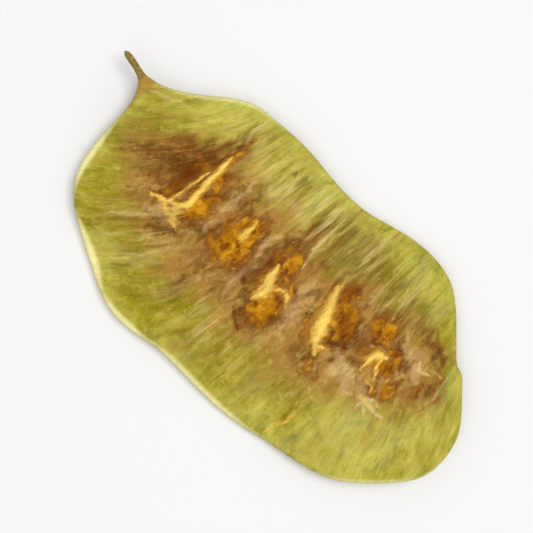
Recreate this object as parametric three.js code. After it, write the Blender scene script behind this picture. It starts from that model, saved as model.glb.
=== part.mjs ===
// A dried senna pod: one flat kidney-shaped fruit with a thickened rim, six seed swellings and a short stalk.
// Units are millimetres. +X runs from the stalk to the far end, +Y to the hump side, +Z up.
import * as THREE from 'three';
import { ParametricGeometry } from 'three/addons/geometries/ParametricGeometry.js';
import { mergeGeometries, mergeVertices } from 'three/addons/utils/BufferGeometryUtils.js';

// Driving dimensions
const MID_HEIGHT = 1.31;        // height of the sheet halfway between its two faces, at its centre
const END_LIFT = 0.75;          // how far the ends curl up
const SIDE_DROP = 0.7;          // how far the two long sides droop
const SIDE_REACH = 7.5;
const EDGE_CURL = 0.32;         // how far the outermost edge turns up again
const EDGE_CURL_WIDTH = 1.5;
const HALF_SHEET = 0.36;        // half the thickness of the plain sheet
const HALF_STALK = 0.46;        // half the thickness of the stalk
const RIM_RAISE = 0.12;         // thickened seam that runs round the outline
const RIM_INSET = 0.5;          // from the outline to the top of that seam
const RIM_WIDTH = 0.34;
const BAND_RAISE = 0.3;         // the swollen band that holds the row of seeds
const BAND_HALF_WIDTH = 4.6;
const SEED_ROUND = 1.25;        // how flat the top of a seed swelling is
const UNDER_SEED = 0.62;        // seed swellings on the underside, as a share of those on top
const UNDER_CREST = 0.45;
const DIP_REACH = 4.6;          // size of the three sags that touch the ground
const FLAT_SPOT = 1.7;          // radius of the flat spot under each

// Grid of the two faces
const UPPER_GRID = { strips: 30, rim: [0, 0.07, 0.22, 0.5, 0.9, 1.5] };
const LOWER_GRID = { strips: 20, rim: [0, 0.1, 0.4, 1.2] };
const RIM_FULL_WIDTH = 8;       // sections narrower than this have their rim strips drawn closer

// Outline, as pairs of points on the hump side and on the belly side, from the stalk's tip to the far end
const OUTLINE_PAIRS = [
  [[-21.3, 2.74], [-21.3, 2.74], 3],
  [[-20.95, 3.14], [-21.0, 2.34], 3],
  [[-19.6, 3.05], [-19.7, 2.2], 3],
  [[-18.5, 2.98], [-18.75, 1.9], 3],
  [[-17.7, 3.1], [-18.1, 1.25], 3],
  [[-16.8, 3.55], [-17.6, 0.0], 4],
  [[-15.6, 4.4], [-17.3, -2.3], 4],
  [[-14.2, 5.7], [-16.9, -4.7], 4],
  [[-12.8, 7.1], [-16.1, -6.8], 4],
  [[-11.6, 8.0], [-14.6, -8.4], 3],
  [[-10.4, 8.5], [-12.3, -9.6], 4],
  [[-9.0, 8.75], [-9.9, -10.6], 4],
  [[-7.2, 9.1], [-7.4, -11.5], 4],
  [[-5.0, 9.3], [-5.4, -11.85], 4],
  [[-2.8, 9.3], [-3.0, -11.5], 4],
  [[-0.6, 9.4], [-0.8, -10.85], 5],
  [[1.6, 9.8], [1.5, -10.55], 4],
  [[3.6, 10.55], [3.8, -10.4], 5],
  [[5.6, 11.25], [6.2, -10.1], 5],
  [[8.0, 11.65], [8.6, -9.55], 4],
  [[10.4, 11.4], [10.8, -8.8], 5],
  [[12.5, 10.2], [12.9, -8.15], 4],
  [[14.4, 8.65], [14.8, -7.5], 4],
  [[16.0, 7.4], [16.4, -6.7], 3],
  [[16.75, 7.25], [17.4, -5.9], 3],
  [[17.8, 6.4], [18.5, -4.75], 3],
  [[19.2, 5.15], [19.6, -3.35], 3],
  [[20.4, 3.75], [20.5, -2.0], 3],
  [[21.05, 2.0], [21.05, -0.85], 4],
  [[21.25, 0.5], [21.25, 0.5], 0],
];

// Seed swellings: centre, half width, half length, lean from the Y axis in degrees, height
const SEEDS = [
  { at: [-8.7, 0.3], across: 1.9, along: 3.2, lean: -3, height: 0.6 },
  { at: [-3.4, -0.3], across: 1.7, along: 2.9, lean: -4, height: 0.52 },
  { at: [1.2, -0.3], across: 1.7, along: 3.1, lean: 8, height: 0.58 },
  { at: [6.5, 1.5], across: 1.8, along: 3.3, lean: 26, height: 0.62 },
  { at: [11.5, 2.1], across: 1.8, along: 2.4, lean: 28, height: 0.55 },
  { at: [14.9, 4.4], across: 1.5, along: 1.9, lean: 20, height: 0.36 },
];

// Sharp crests over the seeds, with their star-like branches: height, half width, then their points
const CRESTS = [
  [0.42, 0.42, [[-8.85, 3.4], [-8.75, 1.0], [-8.5, -0.8], [-8.35, -2.2]]],
  [0.22, 0.4, [[-8.4, -2.1], [-9.8, -2.9], [-11.3, -3.1]]],
  [0.2, 0.4, [[-8.35, -2.2], [-7.1, -3.1]]],
  [0.26, 0.42, [[-3.75, 2.5], [-3.4, 0.3], [-3.2, -1.5], [-3.3, -3.6]]],
  [0.4, 0.42, [[0.2, 2.7], [0.5, 1.0], [1.0, -0.4], [1.15, -2.1]]],
  [0.18, 0.36, [[1.0, 0.1], [2.0, 0.3], [3.0, -0.25]]],
  [0.44, 0.48, [[4.7, 4.8], [5.0, 3.5], [5.6, 2.2], [6.3, 0.7], [7.1, -0.3], [8.2, -1.3]]],
  [0.34, 0.42, [[10.4, 0.9], [10.6, 2.2], [11.2, 3.2], [12.2, 3.1], [13.0, 2.3]]],
  [0.2, 0.38, [[10.4, 0.9], [11.6, 0.8], [12.7, 0.5], [13.3, -0.4], [14.9, -0.3]]],
  [0.16, 0.36, [[13.3, -0.3], [13.4, -1.5]]],
  [0.18, 0.4, [[13.7, 4.6], [14.3, 5.2], [14.8, 4.7]]],
  [0.12, 0.4, [[16.1, 6.2], [16.5, 5.0], [16.2, 3.6]]],
];

// Low veins and cross ribs in the sheet
const VEINS = [
  [0.13, 0.5, [[-9.9, 7.6], [-9.5, 5.6], [-9.1, 3.6]]],
  [0.1, 0.45, [[-6.9, 8.2], [-6.5, 5.4], [-6.6, 3.2]]],
  [0.11, 0.45, [[-4.9, 8.3], [-4.3, 5.4], [-4.0, 2.8]]],
  [0.1, 0.45, [[-2.1, 8.4], [-1.9, 5.2], [-1.7, 2.6]]],
  [0.12, 0.45, [[0.8, 8.6], [1.0, 5.6], [0.5, 3.2]]],
  [0.13, 0.45, [[4.2, 9.6], [4.4, 7.2], [4.6, 4.9]]],
  [0.1, 0.45, [[8.6, 10.2], [8.9, 7.6], [9.4, 5.2]]],
  [0.1, 0.5, [[11.6, 9.4], [12.0, 6.6], [12.2, 4.0]]],
  [0.14, 0.5, [[-9.3, -3.6], [-10.6, -5.4], [-12.3, -7.0]]],
  [0.13, 0.5, [[-6.3, -4.2], [-7.2, -6.2], [-8.6, -8.3]]],
  [0.09, 0.5, [[-3.4, -3.8], [-3.6, -6.4], [-4.2, -9.4]]],
  [0.09, 0.5, [[0.2, -4.2], [-0.2, -6.8], [-0.6, -9.2]]],
  [0.1, 0.45, [[2.4, -4.4], [2.6, -6.6], [2.8, -9.0]]],
  [0.09, 0.5, [[6.2, -3.0], [6.4, -5.6], [6.6, -8.4]]],
  [0.12, 0.45, [[10.3, -3.6], [10.9, -5.4], [10.4, -8.0]]],
  [0.1, 0.5, [[14.0, -1.8], [15.4, -3.6], [16.2, -5.2]]],
];

// The two long hollows: beside the first crest, and the fold at the tip where the style was
const HOLLOWS = [
  [0.16, 0.6, [[-10.1, 2.4], [-10.2, -1.8]]],
  [0.16, 0.5, [[13.4, 7.1], [14.6, 6.8], [15.6, 6.3]]],
  [0.12, 0.5, [[8.1, 2.6], [8.9, 0.9]]],
];

// Where the sagging sides touch the ground
const DIPS = [
  { at: [-9.4, -7.2], depth: 0.86 },
  { at: [8.2, -6.1], depth: 0.8 },
  { at: [4.4, 7.4], depth: 0.62 },
];

const POD_COLOR = '#a59a45';

// Curves of the outline
function sideCurve(side) {
  const points = OUTLINE_PAIRS.map((pair) => new THREE.Vector3(pair[side][0], pair[side][1], 0));
  return new THREE.CatmullRomCurve3(points, false, 'centripetal');
}

const humpSide = sideCurve(0);
const bellySide = sideCurve(1);
const OUTLINE_SAMPLES = 260;
const outline = [...humpSide.getPoints(OUTLINE_SAMPLES), ...bellySide.getPoints(OUTLINE_SAMPLES).reverse()];

function distanceToSegment(x, y, ax, ay, bx, by) {
  const dx = bx - ax;
  const dy = by - ay;
  const length2 = dx * dx + dy * dy;
  const along = length2 > 0 ? THREE.MathUtils.clamp(((x - ax) * dx + (y - ay) * dy) / length2, 0, 1) : 0;
  return Math.hypot(x - ax - along * dx, y - ay - along * dy);
}

function distanceToOutline(x, y) {
  let nearest = Infinity;
  for (let i = 0; i < outline.length; i++) {
    const a = outline[i];
    const b = outline[(i + 1) % outline.length];
    nearest = Math.min(nearest, distanceToSegment(x, y, a.x, a.y, b.x, b.y));
  }
  return nearest;
}

function distanceToLine(x, y, points) {
  let nearest = Infinity;
  for (let i = 0; i + 1 < points.length; i++) {
    nearest = Math.min(nearest, distanceToSegment(x, y, ...points[i], ...points[i + 1]));
  }
  return nearest;
}

// Heights over the sheet
function bell(distance, width) {
  return Math.exp(-((distance / width) ** 2));
}

function ridge(distance, width) {
  return Math.exp(-Math.sqrt(distance * distance + 0.02) / width);
}

function seedSwelling(x, y, seed) {
  const lean = THREE.MathUtils.degToRad(seed.lean);
  const dx = x - seed.at[0];
  const dy = y - seed.at[1];
  const across = (dx * Math.cos(lean) + dy * Math.sin(lean)) / seed.across;
  const along = (-dx * Math.sin(lean) + dy * Math.cos(lean)) / seed.along;
  const reach = Math.hypot(across, along);
  return seed.height * Math.exp(-Math.pow(reach, 2 * SEED_ROUND));
}

function seedRow(x) {
  const rise = THREE.MathUtils.smoothstep(x, 2, 16);
  return -0.4 + 3.4 * rise;
}

function relief(x, y, seedShare, crestShare) {
  const ends = THREE.MathUtils.smoothstep(x, -16, -11) * (1 - THREE.MathUtils.smoothstep(x, 14.5, 18.5));
  let height = BAND_RAISE * ends * bell(y - seedRow(x), BAND_HALF_WIDTH);
  for (const seed of SEEDS) height += seedShare * seedSwelling(x, y, seed);
  for (const [top, width, points] of CRESTS) {
    height += crestShare * top * ridge(distanceToLine(x, y, points), width);
  }
  for (const [top, width, points] of VEINS) {
    height += crestShare * top * bell(distanceToLine(x, y, points), width);
  }
  for (const [depth, width, points] of HOLLOWS) {
    height -= crestShare * depth * bell(distanceToLine(x, y, points), width);
  }
  return height;
}

function halfThickness(x, y, edge, seedShare, crestShare) {
  const stalk = 1 - THREE.MathUtils.smoothstep(x, -18.6, -16.4);
  const round = THREE.MathUtils.lerp(HALF_SHEET, HALF_STALK, stalk);
  const inside = Math.min(edge / round, 1);
  const sheet = round * Math.sqrt(Math.max(0, 1 - (1 - inside) ** 2));
  const rim = RIM_RAISE * (1 - stalk) * bell(edge - RIM_INSET, RIM_WIDTH) * inside;
  const field = THREE.MathUtils.smoothstep(edge, 0.7, 2.0);
  return sheet + rim + field * relief(x, y, seedShare, crestShare);
}

function middleSurface(x, y, edge) {
  let height = MID_HEIGHT + END_LIFT * ((x - 1) / 20) ** 2 - SIDE_DROP * (1 - bell(y, SIDE_REACH));
  height += EDGE_CURL * bell(edge, EDGE_CURL_WIDTH);
  for (const dip of DIPS) height -= dip.depth * bell(Math.hypot(x - dip.at[0], y - dip.at[1]), DIP_REACH);
  return height;
}

// Places of the grid lines
const sectionStarts = OUTLINE_PAIRS.flatMap(([, , steps], index) => {
  return Array.from({ length: steps }, (_, step) => (index + step / steps) / (OUTLINE_PAIRS.length - 1));
});
sectionStarts.push(1);
const SECTIONS = sectionStarts.length - 1;

function sectionPlace(u) {
  const index = Math.min(Math.floor(u * SECTIONS), SECTIONS - 1);
  return THREE.MathUtils.lerp(sectionStarts[index], sectionStarts[index + 1], u * SECTIONS - index);
}

function crossPlace(v, width, { strips, rim }) {
  const scale = Math.min(1, width / RIM_FULL_WIDTH);
  const last = rim.length - 1;
  const step = v * strips;
  const stationAt = (value) => {
    const index = Math.min(Math.floor(value), last - 1);
    return scale * THREE.MathUtils.lerp(rim[index], rim[index + 1], value - index);
  };
  if (step <= last) return stationAt(step);
  if (step >= strips - last) return width - stationAt(strips - step);
  const inset = scale * rim[last];
  return THREE.MathUtils.lerp(inset, width - inset, (step - last) / (strips - 2 * last));
}

// One face of the pod, as a grid from edge to edge
function face(grid, upward) {
  const place = (u, v, target) => {
    const t = sectionPlace(u);
    const belly = bellySide.getPoint(t);
    const hump = humpSide.getPoint(t);
    const width = belly.distanceTo(hump);
    const share = width > 0 ? crossPlace(upward ? v : 1 - v, width, grid) / width : 0;
    const x = THREE.MathUtils.lerp(belly.x, hump.x, share);
    const y = THREE.MathUtils.lerp(belly.y, hump.y, share);
    const onEdge = share <= 0 || share >= 1;
    const edge = onEdge ? 0 : distanceToOutline(x, y);
    const middle = middleSurface(x, y, edge);
    const thickness = upward
      ? halfThickness(x, y, edge, 1, 1)
      : -halfThickness(x, y, edge, UNDER_SEED, UNDER_CREST);
    const flat = !upward && DIPS.some((dip) => Math.hypot(x - dip.at[0], y - dip.at[1]) < FLAT_SPOT);
    target.set(x, y, flat ? 0 : Math.max(0, middle + thickness));
  };
  return followRidges(new ParametricGeometry(place, SECTIONS, grid.strips), place, grid.strips);
}

// Splits each cell of a grid along the diagonal that passes nearer to the true surface, so crests stay whole
function followRidges(geometry, place, strips) {
  const position = geometry.getAttribute('position');
  const index = geometry.getIndex().array;
  const centre = new THREE.Vector3();
  const miss = (p, q) => Math.abs((position.getZ(p) + position.getZ(q)) / 2 - centre.z);
  for (let row = 0, i = 0; row < strips; row++) {
    for (let column = 0; column < SECTIONS; column++, i += 6) {
      place((column + 0.5) / SECTIONS, (row + 0.5) / strips, centre);
      const [a, b, d, , c] = index.slice(i, i + 5);
      if (miss(a, c) < miss(b, d)) index.set([a, b, c, a, c, d], i);
    }
  }
  return geometry;
}

function closedSolid(parts) {
  for (const part of parts) {
    part.deleteAttribute('normal');
    part.deleteAttribute('uv');
  }
  const merged = mergeVertices(mergeGeometries(parts), 1e-3);
  const index = merged.getIndex().array;
  const kept = [];
  for (let i = 0; i < index.length; i += 3) {
    const [a, b, c] = [index[i], index[i + 1], index[i + 2]];
    if (a !== b && b !== c && c !== a) kept.push(a, b, c);
  }
  merged.setIndex(kept);
  merged.computeVertexNormals();
  return merged;
}

// The pod
const podGeometry = closedSolid([face(UPPER_GRID, true), face(LOWER_GRID, false)]);
const podMaterial = new THREE.MeshStandardMaterial({ color: POD_COLOR, roughness: 0.75, metalness: 0 });
const pod = new THREE.Mesh(podGeometry, podMaterial);
pod.name = 'senna_pod';

const root = new THREE.Group();
root.name = 'senna_pod_part';
root.add(pod);

export default root;
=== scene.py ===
"""Finishes a dried senna pod.

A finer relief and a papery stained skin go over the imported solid, and a pale stage shows it.
"""
import math
import random

import bpy
import numpy as np
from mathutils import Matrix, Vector, noise


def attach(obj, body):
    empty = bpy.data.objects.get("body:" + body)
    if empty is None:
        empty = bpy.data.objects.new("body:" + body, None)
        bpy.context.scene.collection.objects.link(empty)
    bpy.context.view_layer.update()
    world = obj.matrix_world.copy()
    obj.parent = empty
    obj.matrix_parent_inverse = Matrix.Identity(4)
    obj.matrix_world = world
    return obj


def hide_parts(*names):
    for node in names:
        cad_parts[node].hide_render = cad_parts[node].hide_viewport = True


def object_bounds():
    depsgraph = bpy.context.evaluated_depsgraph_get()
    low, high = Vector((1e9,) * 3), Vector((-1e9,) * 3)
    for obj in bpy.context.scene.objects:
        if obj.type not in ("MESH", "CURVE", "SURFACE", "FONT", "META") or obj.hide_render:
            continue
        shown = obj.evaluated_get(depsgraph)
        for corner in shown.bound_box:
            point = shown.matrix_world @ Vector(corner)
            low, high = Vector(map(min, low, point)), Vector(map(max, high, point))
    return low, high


bl_info = {
    "name": "Senna Pod",
    "version": (1, 0, 0),
    "blender": (4, 5, 0),
    "location": "View3D > Sidebar > Senna Pod",
    "description": "Finishes a dried senna pod and sets a pale stage under it",
    "category": "Object",
}

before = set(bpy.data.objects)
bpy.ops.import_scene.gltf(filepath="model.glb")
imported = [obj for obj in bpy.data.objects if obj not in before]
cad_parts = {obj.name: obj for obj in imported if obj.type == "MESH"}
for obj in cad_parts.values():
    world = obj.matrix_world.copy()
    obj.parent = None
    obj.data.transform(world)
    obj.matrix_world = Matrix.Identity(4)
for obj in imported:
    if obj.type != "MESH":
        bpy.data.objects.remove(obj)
CAD_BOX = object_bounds()
MM = 0.001

# Seeds under the skin: centre in mm, half length, lean from the Y axis in degrees
SEEDS = [
    ((-8.7, 0.3), 3.2, -3),
    ((-3.4, -0.3), 2.9, -4),
    ((1.2, -0.3), 3.1, 8),
    ((6.5, 1.5), 3.3, 26),
    ((11.5, 2.1), 2.4, 28),
    ((14.9, 4.4), 1.9, 20),
]

# The brown band round the seeds: its upper and lower bounds in mm, from left to right
BAND_TOP = [
    (-16.5, -1.6), (-15, -0.2), (-13, 2.6), (-11, 4.4), (-9, 5.8), (-6, 4.6), (-3, 4.4), (0, 5.4),
    (3, 4.8), (6, 6.2), (9, 7.0), (12, 7.6), (14, 7.2), (16, 6.2), (17.0, 3.6),
]
BAND_FOOT = [
    (-16.5, -1.8), (-15, -3.0), (-13, -4.6), (-11, -5.6), (-9, -7.0), (-6, -7.0), (-4, -7.4), (-2, -5.8),
    (2, -5.6), (4, -5.2), (7, -4.6), (9, -4.8), (11, -2.8), (13, -1.6), (15, 0.2), (17.0, 3.2),
]

# Lean of the cross fibres: x in mm, then how far they run in X for each mm in Y
UPPER_LEAN = [(-17, 0.9), (-12, 0.6), (-6, 0.05), (3, 0.0), (10, -0.1), (18, -0.55)]
LOWER_LEAN = [(-17, 0.8), (-8, 0.5), (0, 0.02), (8, 0.0), (18, -0.4)]

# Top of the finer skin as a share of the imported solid's height
HIGHEST = 1.025

# The stalk: where it starts in mm along X, over what length it thins, what share of thickness it keeps
STALK_FOOT = -17.9
STALK_THINNING = 1.2
STALK_SHARE = 0.66

# Where the colours of the stalk and of its joint with the pod fade out, in mm along X
STEM_FADE = (-19.0, -18.2)
JOINT_FADE = (-18.2, -17.0)

# Distances from the outline in mm over which the relief, the stains and the strands fade in
RELIEF_FADE = (0.25, 1.6)
STAIN_FADE = (0.3, 1.6)
STRAND_FADE = (0.5, 2.2)

# Widths in mm along the outline: the seam, the thin rim, what cream adds to it, the paler green
SEAM_WIDTH = 0.08
RIM_WIDTH = 0.22
CREAM_WIDTH = 0.6
PALE_WIDTH = 1.7

# How much wider than the relief the yellow crests and their golden flanks are
CREST_SPREAD = 1.3
GLOW_SPREAD = 2.1

# How far in mm the painted shadow line beside each crest lies off it, against X and Y
CREST_SHADOW_SHIFT = (0.42, -0.1)

# Half width at a line's ends, as a share of the line's own
TAPER = 0.35

# Depth of the finest grain in the skin
GRAIN_DEPTH = 0.1 * MM

# Noise that makes marks wander, for X and then Y: waves in a mm each way, seed
SLOW_NOISE = (((0.5, 0.35), 41.0), ((0.5, 0.4), 57.0))
DRIFT_NOISE = (((1.1, 0.7), 21.0), ((1.1, 0.9), 35.0))
QUICK_NOISE = (((1.9, 1.1), 63.0), ((1.9, 1.1), 79.0))

# Noise that shapes the sheet along its fibres: waves in a mm each way, seed
RIB_NOISE = ((1.25, 0.14), 3.1)
FOLD_NOISE = ((0.45, 0.22), 7.7)
CREASE_NOISE = ((0.75, 0.4), 11.3)

# Loose fibres: seed, how many, half widths in mm
BRIGHT_FIBRES = (11, 200, (0.16, 0.36))
DULL_FIBRES = (12, 220, (0.16, 0.4))

# Both kinds: the corners they lie between and their lengths in mm, how far their lean strays from the
# cross fibres', how far their middle bends out as a share of their length, and their strengths
FIBRE_CORNERS = ((-18, -10), (19, 9))
FIBRE_LENGTHS = (1.2, 4.0)
FIBRE_STRAY = 0.16
FIBRE_BEND = 0.12
FIBRE_STRENGTHS = (0.35, 1.0)

# The stage in metres, and the camera's film in mm
FLOOR_SIDE = 4
FLOOR_DROP = 0.01 * MM
FILM_WIDTH = 36
AIM = Vector((-0.3, 0.46, 1.2)) * MM
ROOM_COLOUR = (1.0, 0.99, 0.97, 1)

# Soft lights: name, direction to the right, up the picture and towards the camera, side, share of power
LIGHTS = [
    ("key", (0.32, 0.1, 1.0), 0.3, 1.0),
    ("top", (-0.2, -0.3, 1.0), 0.4, 0.3),
]
LIGHT_DISTANCE = 0.6

# Crests over the seeds: strength, then points with X, Y and half width in mm
CREST_LINES = [
    (1.0, [(-8.95, 4.0, 0.08), (-8.8, 2.8, 0.22), (-8.65, 1.2, 0.28), (-8.45, 0.0, 0.28), (-8.25, -1.4, 0.3),
           (-8.9, -2.1, 0.24), (-9.9, -2.6, 0.2), (-11.0, -3.0, 0.1)]),
    (0.85, [(-9.2, 1.7, 0.08), (-9.3, 0.4, 0.15), (-9.4, -1.0, 0.16), (-9.5, -2.2, 0.16)]),
    (0.6, [(-8.3, -1.6, 0.2), (-8.0, -2.3, 0.18), (-7.6, -3.0, 0.08)]),
    (0.8, [(-3.6, 2.3, 0.12), (-3.52, 1.5, 0.2), (-3.45, 0.9, 0.34), (-3.4, 0.5, 0.46), (-3.38, 0.3, 0.3)]),
    (0.5, [(-3.3, -2.2, 0.1), (-3.3, -3.0, 0.2), (-3.5, -4.2, 0.12)]),
    (0.5, [(-2.2, -2.0, 0.08), (-1.7, -1.6, 0.16), (-1.2, -1.1, 0.1)]),
    (1.0, [(0.1, 1.35, 0.08), (0.45, 0.6, 0.3), (0.85, -0.25, 0.48), (1.1, -0.95, 0.62), (1.1, -1.45, 0.5),
           (1.0, -2.1, 0.18)]),
    (0.8, [(1.5, -0.35, 0.16), (1.9, 0.15, 0.2), (2.35, 0.3, 0.28), (2.9, 0.0, 0.2), (3.3, -0.5, 0.1)]),
    (0.45, [(3.1, -0.6, 0.1), (2.9, -1.3, 0.2), (2.4, -1.6, 0.22), (1.8, -1.5, 0.1)]),
    (0.75, [(4.75, 4.9, 0.06), (4.8, 4.2, 0.13), (4.8, 3.6, 0.13)]),
    (1.0, [(4.7, 4.0, 0.14), (5.15, 3.0, 0.36), (5.6, 2.1, 0.52), (6.15, 1.2, 0.62), (6.55, 0.3, 0.56),
           (7.1, -0.5, 0.38), (7.8, -1.2, 0.12)]),
    (0.9, [(6.6, -0.1, 0.3), (7.4, -0.4, 0.22), (8.2, 0.0, 0.08)]),
    (0.5, [(7.8, -1.5, 0.1), (8.3, -1.9, 0.2), (8.6, -2.4, 0.1)]),
    (1.0, [(11.6, 3.25, 0.14), (11.2, 3.0, 0.32), (10.95, 2.5, 0.4), (10.85, 2.0, 0.36), (11.0, 1.5, 0.16)]),
    (0.8, [(11.5, 2.95, 0.16), (11.75, 2.3, 0.18), (12.1, 1.7, 0.18), (12.5, 1.3, 0.1)]),
    (0.6, [(10.9, 1.5, 0.12), (11.2, 1.0, 0.28), (11.8, 0.75, 0.36), (12.5, 0.8, 0.18)]),
    (0.7, [(12.6, 0.9, 0.1), (12.8, 0.7, 0.18), (13.0, 0.4, 0.1)]),
    (0.6, [(12.5, -0.5, 0.16), (13.1, -0.35, 0.3), (13.8, -0.2, 0.14)]),
    (0.5, [(13.0, 2.9, 0.08), (13.15, 2.3, 0.16), (13.3, 1.6, 0.08)]),
    (0.5, [(9.3, 5.0, 0.08), (9.9, 4.6, 0.2), (10.3, 4.1, 0.1)]),
    (0.85, [(-8.5, -1.9, 0.4), (-8.6, -2.5, 0.66), (-8.2, -3.1, 0.4), (-7.4, -3.3, 0.12)]),
    (0.78, [(-10.0, -2.8, 0.2), (-9.2, -2.9, 0.4), (-8.4, -3.1, 0.3)]),
    (0.66, [(9.9, -4.6, 0.08), (10.6, -5.6, 0.18), (10.7, -6.4, 0.2), (10.3, -7.4, 0.18),
            (10.1, -8.5, 0.08)]),
]

# Lines below: strength, half width in mm, then the points that the line runs through

# Pale dried strands
STRAW_LINES = [
    (0.95, 0.26, [(12.5, -0.3), (13.2, -0.35), (14.0, -0.3), (15.4, -0.2)]),
    (0.6, 0.16, [(13.4, -0.1), (14.2, 0.2), (14.9, 0.1)]),
    (0.85, 0.2, [(13.9, 0.4), (13.4, -0.1), (13.2, -0.8), (13.3, -1.4)]),
    (0.85, 0.2, [(13.3, -0.4), (13.8, -0.9), (14.3, -1.4)]),
    (0.5, 0.16, [(13.0, 1.5), (13.6, 0.8), (14.2, 0.1)]),
    (0.75, 0.2, [(13.7, 5.3), (14.1, 4.7), (14.6, 4.75), (15.1, 5.0)]),
    (0.5, 0.17, [(14.4, 5.2), (15.2, 5.6), (16.2, 5.7)]),
    (0.5, 0.22, [(16.0, 6.4), (16.4, 5.4), (16.7, 4.4), (16.8, 3.2)]),
    (0.5, 0.2, [(8.3, -1.2), (8.7, -1.9), (8.6, -2.7)]),
    (0.5, 0.3, [(9.2, -3.1), (10.2, -3.6), (11.2, -3.3)]),
    (0.6, 0.3, [(-17.9, 2.1), (-16.6, 2.7), (-15.0, 3.7)]),
    (0.6, 0.4, [(-9.8, -2.9), (-8.8, -3.0), (-7.8, -2.9)]),
    (0.5, 0.6, [(9.2, 0.5), (10.4, 0.3), (11.6, -0.1)]),
    (0.6, 0.3, [(-9.5, -3.9), (-10.8, -5.4), (-12.4, -7.0)]),
    (0.45, 0.2, [(-7.6, -3.3), (-6.6, -2.7), (-5.7, -1.9)]),
    (0.55, 0.3, [(-6.1, -4.0), (-7.2, -6.0), (-8.5, -8.2)]),
    (0.5, 0.24, [(-7.4, -4.2), (-8.6, -6.0), (-10.0, -8.0)]),
    (0.6, 0.26, [(-1.3, 9.4), (-1.5, 8.0), (-1.4, 6.6)]),
    (0.6, 0.24, [(-2.1, 8.8), (-2.0, 7.2), (-2.1, 5.6)]),
    (0.7, 0.24, [(0.75, 8.4), (0.95, 6.4), (1.1, 4.4), (1.7, 2.6)]),
    (0.6, 0.26, [(4.3, 10.0), (4.4, 8.0), (4.75, 6.2)]),
    (0.5, 0.2, [(3.2, 9.4), (3.3, 7.6), (3.2, 6.0)]),
    (0.5, 0.22, [(-0.2, 8.6), (-0.05, 7.0), (0.0, 5.6)]),
    (0.55, 0.22, [(8.8, 9.8), (9.1, 7.6), (9.6, 5.6)]),
    (0.55, 0.3, [(-9.6, 8.4), (-9.45, 6.8), (-9.3, 5.4)]),
    (0.55, 0.24, [(-4.2, 7.4), (-4.0, 6.2), (-3.9, 4.4)]),
    (0.5, 0.2, [(-6.3, 8.0), (-6.3, 6.4), (-6.2, 4.6)]),
    (0.5, 0.2, [(-1.5, -4.2), (-1.6, -5.6), (-1.7, -7.2)]),
    (0.5, 0.2, [(0.4, -5.6), (0.4, -7.0), (0.3, -8.6)]),
    (0.5, 0.2, [(4.2, -5.2), (4.3, -6.8), (4.4, -8.4)]),
]

# Low broad swellings beside the crests
SWOLLEN_LINES = [
    (1.0, 0.8, [(-10.6, -3.1), (-9.0, -3.0), (-7.4, -2.9)]),
    (0.7, 0.7, [(2.6, -1.0), (2.4, -2.2), (2.0, -3.4)]),
    (0.6, 0.9, [(-4.0, -0.8), (-3.2, -1.6), (-2.9, -2.6)]),
    (0.6, 0.7, [(9.6, 5.2), (10.0, 4.4)]),
]

# Dark clefts
DARK_LINES = [
    (0.4, 0.2, [(-9.6, -4.4), (-8.6, -4.1), (-7.2, -3.5)]),
    (0.8, 0.24, [(-9.0, 0.6), (-8.95, -0.6), (-8.95, -2.0)]),
    (0.7, 0.3, [(-9.0, 3.6), (-9.2, 4.8), (-9.5, 6.2)]),
    (1.0, 0.26, [(0.6, -3.8), (1.4, -4.3), (2.4, -4.75)]),
    (0.95, 0.26, [(6.9, 0.35), (7.9, 0.5), (9.0, 1.2)]),
    (0.9, 0.3, [(1.5, -0.4), (2.1, -0.6), (2.8, -0.6)]),
    # Painted shadow of the fold along the upper edge
    (0.7, 0.4, [(12.6, 8.1), (14.0, 7.1), (15.9, 6.2)]),
    (0.7, 0.2, [(-0.5, 8.2), (-0.45, 6.6), (-0.4, 5.0)]),
    (0.75, 0.2, [(0.3, 8.2), (0.4, 6.6), (0.45, 4.6)]),
    (0.55, 0.22, [(-3.0, 7.6), (-2.9, 6.0), (-2.9, 4.4)]),
    (0.6, 0.2, [(-5.4, 7.2), (-5.3, 5.8), (-5.2, 4.2)]),
    (0.5, 0.2, [(-7.0, 6.8), (-6.9, 5.4), (-6.8, 4.0)]),
    (0.6, 0.2, [(2.4, 7.6), (2.4, 6.0), (2.5, 4.6)]),
    (0.55, 0.2, [(3.8, 8.6), (3.9, 7.0), (4.0, 5.6)]),
    (0.5, 0.2, [(-10.2, 6.6), (-10.0, 5.4), (-9.8, 4.4)]),
    (0.6, 0.34, [(-4.8, 7.5), (-4.65, 7.1), (-4.4, 6.8)]),
    (0.5, 0.2, [(7.2, 8.8), (7.3, 7.6), (7.3, 6.4)]),
    (0.55, 0.24, [(-3.4, -4.8), (-3.45, -6.2), (-3.6, -7.8)]),
    (0.7, 0.2, [(9.6, 3.4), (10.1, 3.2), (10.7, 3.2)]),
    (0.7, 0.16, [(11.5, 1.8), (11.9, 1.45), (12.4, 1.1)]),
    (0.7, 0.16, [(11.75, 3.1), (11.95, 2.7), (12.0, 2.2)]),
    (0.6, 0.2, [(12.2, 0.5), (13.0, 0.3), (13.2, 0.0)]),
]

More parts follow.
